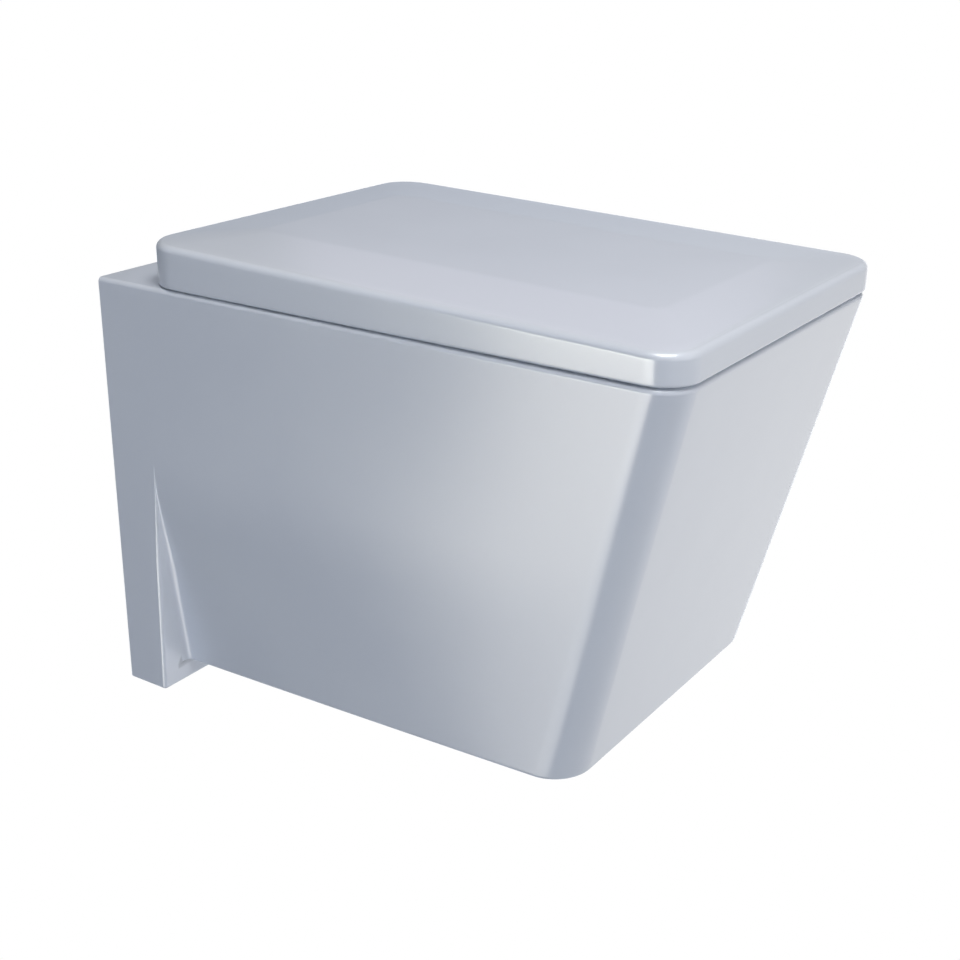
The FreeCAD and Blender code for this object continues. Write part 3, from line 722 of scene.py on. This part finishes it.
# rings of points from the middle of the ceiling, down the inside, round the rim and up to the plateau
def lidRows():
    rim = roundedRing(0, 0, lidForm["frontCorner"], lidForm["backCorner"])
    plateau = roundedRing(lidForm["sideBorder"], lidForm["endBorder"], lidForm["plateauCorner"],
                          lidForm["plateauCorner"])
    spans = [(start[0], end[0]) for start, end in zip(rim, plateau)]

    def across(share, lowered):
        row = []
        for start, end in spans:
            place = start.lerp(end, share)
            row.append((place, lidEdge(place.y) - lowered + lidForm["rise"] * creased(share)))
        return row

    def inset(amount, heightAt):
        return [(spot - outward * amount, heightAt(spot.y)) for spot, outward in rim]

    crease = lidForm["crease"]
    first = lidForm["borderStart"]
    shares = [first + (1 - crease - first) * share for share in [0] + steps(lidCount["borderRows"])]
    shares += [1 - crease + 2 * crease * share for share in steps(lidCount["creaseRows"])]
    panel, wall, radius = lidForm["panel"], lidForm["wall"], lidForm["innerEdge"]
    rows = [across(share, panel) for share in shares[::-1]]
    for share in [0] + steps(lidCount["lowRows"]):
        angle = quarterTurn * (1 - share)
        rows.append(inset(wall + radius * (1 - math.cos(angle)),
                          lambda y: lidEdge(y) - panel - radius + radius * math.sin(angle)))
    rows.append(inset(wall, lidLow))
    low = lidForm["lowEdge"]
    for share in [0] + steps(lidCount["lowRows"]):
        angle = quarterTurn * share
        rows.append(inset(low * (1 - math.sin(angle)),
                          lambda y: lidLow(y) + low * (1 - math.cos(angle))))
    edge = lidForm["topEdge"]
    for share in steps(lidCount["wallRows"]):
        rows.append(inset(0, lambda y: (lidLow(y) + low) * (1 - share) + (lidEdge(y) - edge) * share))
    for share in steps(lidCount["edgeRows"]):
        angle = quarterTurn * share
        rows.append(inset(edge * (1 - math.cos(angle)),
                          lambda y: lidEdge(y) - edge + edge * math.sin(angle)))
    return rows + [across(share, 0) for share in shares]


def blockMesh(name, profile, xLow, xHigh):
    shape = bmesh.new()
    ends = []
    for x in (xLow, xHigh):
        ends.append([shape.verts.new(Vector((x, y, z)) * mm) for y, z in profile])
    shape.faces.new(ends[0])
    shape.faces.new(ends[1][::-1])
    for i in range(len(profile)):
        shape.faces.new((ends[0][i - 1], ends[1][i - 1], ends[1][i], ends[0][i]))
    bmesh.ops.recalc_face_normals(shape, faces=shape.faces)
    return plainMesh(name, shape)


def carve(mesh, tools, operation):
    base = addObject("carved", mesh)
    helpers = []
    for tool in tools:
        helper = addObject("carver", tool)
        cut = base.modifiers.new("carve", "BOOLEAN")
        cut.operation = operation
        cut.solver = "EXACT"
        cut.object = helper
        helpers.append(helper)
    result = evaluatedMesh(base)
    for helper in helpers + [base]:
        bpy.data.objects.remove(helper)
    return result


# lugs of the lid and the notches that let the hinge posts through, as distances from the middle
# and heights from the zero of the frame
lidHinge = {"notch": (42, 113), "notchTop": 113.4, "notchDeep": 5, "notchOver": 1, "lug": (90, 112),
            "barrel": 7, "webTop": 115.5, "bore": 5.55, "boreSpan": (89, 111), "steps": 24}


# points round the hinge line between two angles in degrees, with no second point where a circle closes
def circleProfile(radius, first, last):
    count = lidHinge["steps"]
    total = count + 1 if last - first < 360 else count
    height = panForm["top"] + lidForm["axisHeight"]
    points = []
    for i in range(total):
        turn = math.radians(first + (last - first) * i / count)
        points.append((lidForm["axisY"] + radius * math.cos(turn), height + radius * math.sin(turn)))
    return points


def mirrored(ends, side):
    return sorted(side * end for end in ends)


def lidHingeTools():
    notchBack = lidForm["back"] + lidHinge["notchOver"]
    notchFront = lidForm["back"] - lidHinge["notchDeep"]
    low, high = panForm["top"], lidHinge["notchTop"]
    notch = [(notchFront, low), (notchBack, low), (notchBack, high), (notchFront, high)]
    lug = circleProfile(lidHinge["barrel"], 180, 360)[::-1]
    lug += [(lidForm["axisY"] - lidHinge["barrel"], lidHinge["webTop"]),
            (lidForm["axisY"] + lidHinge["barrel"], lidHinge["webTop"])]
    bore = circleProfile(lidHinge["bore"], 0, 360)
    notches, lugs, bores = [], [], []
    for side in (-1, 1):
        notches.append(blockMesh("notch", notch, *mirrored(lidHinge["notch"], side)))
        lugs.append(blockMesh("lug", lug, *mirrored(lidHinge["lug"], side)))
        bores.append(blockMesh("bore", bore, *mirrored(lidHinge["boreSpan"], side)))
    return notches, lugs, bores


def makeLid():
    shape = bmesh.new()
    rows = []
    for row in lidRows():
        points = [Vector((spot.x, spot.y, panForm["top"] + height)) * mm for spot, height in row]
        rows.append([shape.verts.new(point) for point in points])
    for low, high in zip(rows, rows[1:]):
        for i in range(len(low)):
            shape.faces.new((low[i - 1], low[i], high[i], high[i - 1]))
    shape.faces.new(rows[0][::-1])
    shape.faces.new(rows[-1])
    mesh = plainMesh("lidForm", shape)
    notches, lugs, bores = lidHingeTools()
    mesh = carve(mesh, notches, "DIFFERENCE")
    mesh = carve(mesh, lugs, "UNION")
    mesh = carve(mesh, bores, "DIFFERENCE")
    smoothShade(mesh)
    shape = bmesh.new()
    shape.from_mesh(mesh)
    print("lid faces:", len(mesh.polygons), "open edges:", openEdges(shape))
    shape.free()
    evenNormals(pieceFrom("lidMoulding", mesh, "lid_shell"))


makeLid()


# rubber pads under the seat and the lid, repeated by geometry nodes
padForm = {"seat": {"spots": (154.5, (-439.4, -156)), "length": 26, "width": 12, "corner": 4.8,
                    "node": "seat_bumpers"},
           "lid": {"spots": (146.5, (-439.4, -156)), "length": 16, "width": 16, "corner": 7.9,
                   "node": "lid_bumpers"}}
padShared = {"stem": 3, "stemLength": 2, "roundShare": 0.22, "roundScale": 0.92, "cornerSteps": 8,
             "restGap": 0.2, "seatLow": 3, "seatTop": 16, "sink": 0.3}


# one pad with rounded corners and a narrowed end, one unit tall
def padBody(tree, given):
    add = tree.nodes.new
    link = tree.links.new
    frameCurve = add("GeometryNodeCurvePrimitiveQuadrilateral")
    link(given.outputs["Width"], frameCurve.inputs["Width"])
    link(given.outputs["Length"], frameCurve.inputs["Height"])
    fillet = add("GeometryNodeFilletCurve")
    fillet.mode = "POLY"
    fillet.inputs["Count"].default_value = padShared["cornerSteps"]
    link(frameCurve.outputs["Curve"], fillet.inputs["Curve"])
    link(given.outputs["Corner"], fillet.inputs["Radius"])
    fill = add("GeometryNodeFillCurve")
    fill.mode = "NGONS"
    link(fillet.outputs["Curve"], fill.inputs["Curve"])
    base = add("GeometryNodeFlipFaces")
    link(fill.outputs["Mesh"], base.inputs["Mesh"])
    rest = add("ShaderNodeMath")
    rest.operation = "SUBTRACT"
    rest.inputs[0].default_value = 1
    link(given.outputs["Round Share"], rest.inputs[1])
    wall = add("GeometryNodeExtrudeMesh")
    wall.inputs["Individual"].default_value = False
    link(fill.outputs["Mesh"], wall.inputs["Mesh"])
    link(rest.outputs[0], wall.inputs["Offset Scale"])
    edge = add("GeometryNodeExtrudeMesh")
    edge.inputs["Individual"].default_value = False
    link(wall.outputs["Mesh"], edge.inputs["Mesh"])
    link(wall.outputs["Top"], edge.inputs["Selection"])
    link(given.outputs["Round Share"], edge.inputs["Offset Scale"])
    narrow = add("GeometryNodeScaleElements")
    link(edge.outputs["Mesh"], narrow.inputs["Geometry"])
    link(edge.outputs["Top"], narrow.inputs["Selection"])
    link(given.outputs["Round Scale"], narrow.inputs["Scale"])
    closed = add("GeometryNodeJoinGeometry")
    link(narrow.outputs["Geometry"], closed.inputs["Geometry"])
    link(base.outputs["Mesh"], closed.inputs["Geometry"])
    weld = add("GeometryNodeMergeByDistance")
    weld.inputs["Distance"].default_value = weldGap["pad"]
    link(closed.outputs["Geometry"], weld.inputs["Geometry"])
    return weld.outputs["Geometry"]


def padTree(finish):
    tree = bpy.data.node_groups.new("bumperPads", "GeometryNodeTree")
    face = tree.interface
    face.new_socket("Geometry", in_out="INPUT", socket_type="NodeSocketGeometry")
    for name in ("Length", "Width", "Corner", "Round Share", "Round Scale", "Stem Radius", "Stem Length"):
        face.new_socket(name, in_out="INPUT", socket_type="NodeSocketFloat")
    face.new_socket("Geometry", in_out="OUTPUT", socket_type="NodeSocketGeometry")
    add = tree.nodes.new
    link = tree.links.new
    given = add("NodeGroupInput")
    out = add("NodeGroupOutput")
    tall = add("GeometryNodeInputNamedAttribute")
    tall.inputs["Name"].default_value = "tall"
    stretch = add("ShaderNodeCombineXYZ")
    stretch.inputs["X"].default_value = 1
    stretch.inputs["Y"].default_value = 1
    link(tall.outputs["Attribute"], stretch.inputs["Z"])
    pads = add("GeometryNodeInstanceOnPoints")
    pads.inputs["Rotation"].default_value = (2 * quarterTurn, 0, 0)
    link(given.outputs["Geometry"], pads.inputs["Points"])
    link(padBody(tree, given), pads.inputs["Instance"])
    link(stretch.outputs["Vector"], pads.inputs["Scale"])
    stem = add("GeometryNodeMeshCylinder")
    link(given.outputs["Stem Radius"], stem.inputs["Radius"])
    link(given.outputs["Stem Length"], stem.inputs["Depth"])
    stems = add("GeometryNodeInstanceOnPoints")
    link(given.outputs["Geometry"], stems.inputs["Points"])
    link(stem.outputs["Mesh"], stems.inputs["Instance"])
    both = add("GeometryNodeJoinGeometry")
    link(pads.outputs["Instances"], both.inputs["Geometry"])
    link(stems.outputs["Instances"], both.inputs["Geometry"])
    real = add("GeometryNodeRealizeInstances")
    link(both.outputs["Geometry"], real.inputs["Geometry"])
    paint = add("GeometryNodeSetMaterial")
    paint.inputs["Material"].default_value = finish
    link(real.outputs["Geometry"], paint.inputs["Geometry"])
    link(paint.outputs["Geometry"], out.inputs["Geometry"])
    return tree


# height of the ceiling above a pad, on the border beside the plateau
def lidCeiling(x, y):
    side = (lidForm["half"] - abs(x) - lidForm["wall"]) / (lidForm["sideBorder"] - lidForm["wall"])
    return lidEdge(y) - lidForm["panel"] + lidForm["rise"] * min(1, side)


def makePads(name, sizes, tree):
    x, ys = sizes["spots"]
    places, heights = [], []
    for side in (-1, 1):
        for y in ys:
            if name == "seat":
                root, foot = padShared["seatLow"], padShared["restGap"]
            else:
                root = lidCeiling(x, y) + padShared["sink"]
                foot = padShared["seatTop"] + padShared["restGap"]
            places.append(Vector((side * x, y, panForm["top"] + root)) * mm)
            heights.append((root - foot) * mm)
    mesh = bpy.data.meshes.new(name + "Spots")
    mesh.from_pydata(places, [], [])
    mesh.attributes.new("tall", "FLOAT", "POINT").data.foreach_set("value", heights)
    holder = addObject(name + "Spots", mesh)
    nodes = holder.modifiers.new("pads", "NODES")
    nodes.node_group = tree
    values = {"Length": sizes["length"] * mm, "Width": sizes["width"] * mm, "Corner": sizes["corner"] * mm,
              "Round Share": padShared["roundShare"], "Round Scale": padShared["roundScale"],
              "Stem Radius": padShared["stem"] * mm, "Stem Length": padShared["stemLength"] * mm}
    for item in tree.interface.items_tree:
        if item.in_out == "INPUT" and item.name in values:
            nodes[item.identifier] = values[item.name]
    made = evaluatedMesh(holder)
    bpy.data.objects.remove(holder)
    smoothShade(made)
    print(name, "pads:", len(made.polygons), "faces")
    pieceFrom(name + "Pads", made, sizes["node"])


bumperTree = padTree(finishOf["rubber"])
for padName, padSizes in padForm.items():
    makePads(padName, padSizes, bumperTree)


# the rest keep their CAD shapes with smooth shading
ownPieces = {"pan", "lid_shell", "seat_bumpers", "lid_bumpers"}
for node in sorted(frame["nodes"]):
    if node not in ownPieces:
        dressNode(node)
print("nodes dressed")
